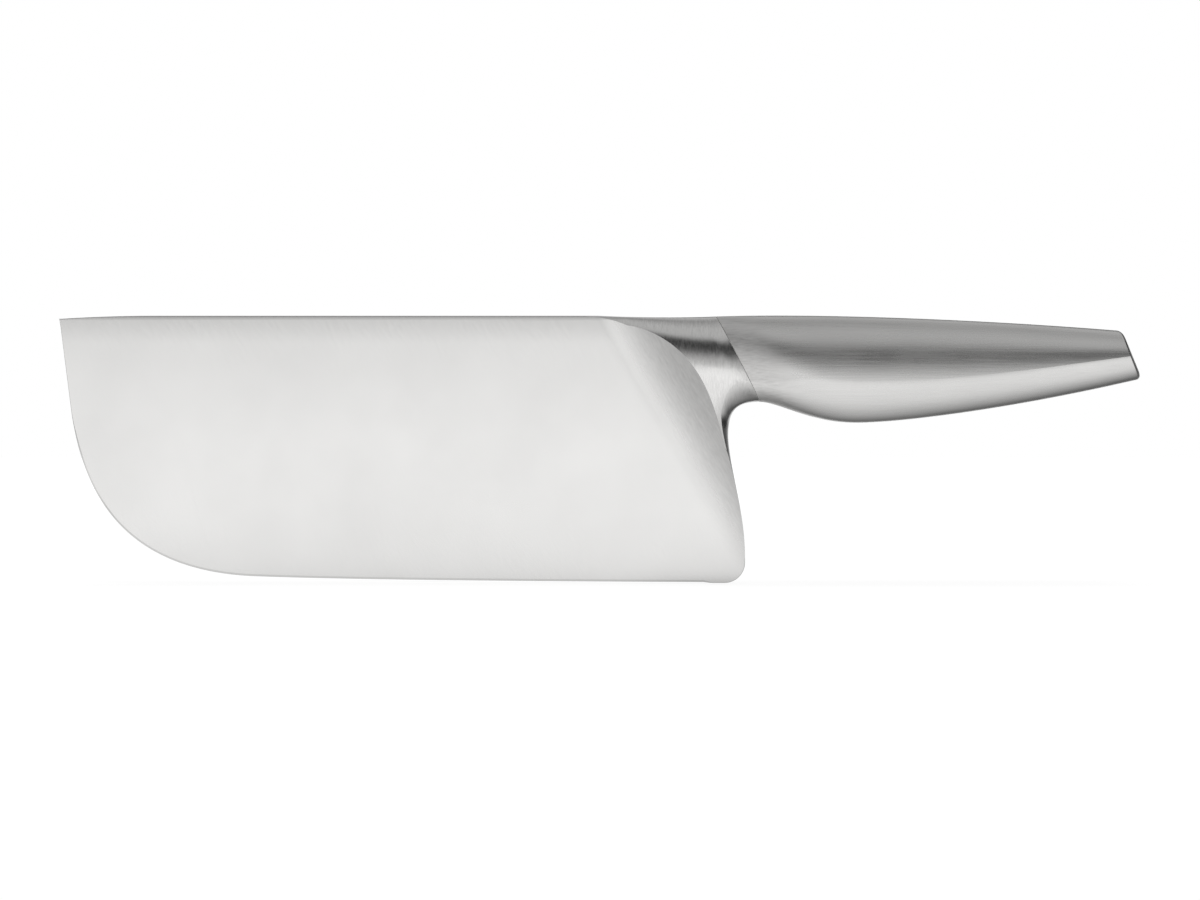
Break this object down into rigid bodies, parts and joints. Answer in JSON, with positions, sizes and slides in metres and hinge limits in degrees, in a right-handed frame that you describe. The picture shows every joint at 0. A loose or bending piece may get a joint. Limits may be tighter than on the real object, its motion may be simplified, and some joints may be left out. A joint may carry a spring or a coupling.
{
  "type": "kitchen knife",
  "caption": "Broad chopping knife with a rounded front edge, a hollow-ground bolster, a finger notch behind the heel and a hollow steel handle with a slanted butt.",
  "frame": {"origin": "under the middle of the knife's length, in the blade's middle plane, at the height of the heel's lowest point", "axes": "+X along the knife from the tip towards the handle, +Y across the blade's thickness, +Z from the cutting edge up to the spine"},
  "size_m": [0.315, 0.019, 0.0781],
  "materials": {
    "blade_steel": "fine satin grind across the blade, upright brushing on the bolster",
    "handle_steel": "satin, brushed along the handle",
    "cap_steel": "satin, with a rounded rim and a crowned rear face",
    "weight_steel": "plain turned steel",
    "pin_steel": "drawn rod"
  },
  "bodies": {
    "root": {"forged_blade": "blade_steel", "handle_shell_left": "handle_steel", "handle_shell_right": "handle_steel", "butt_cap": "cap_steel", "balance_weight": "weight_steel", "weight_pin": "pin_steel"}
  },
  "joints": []
}
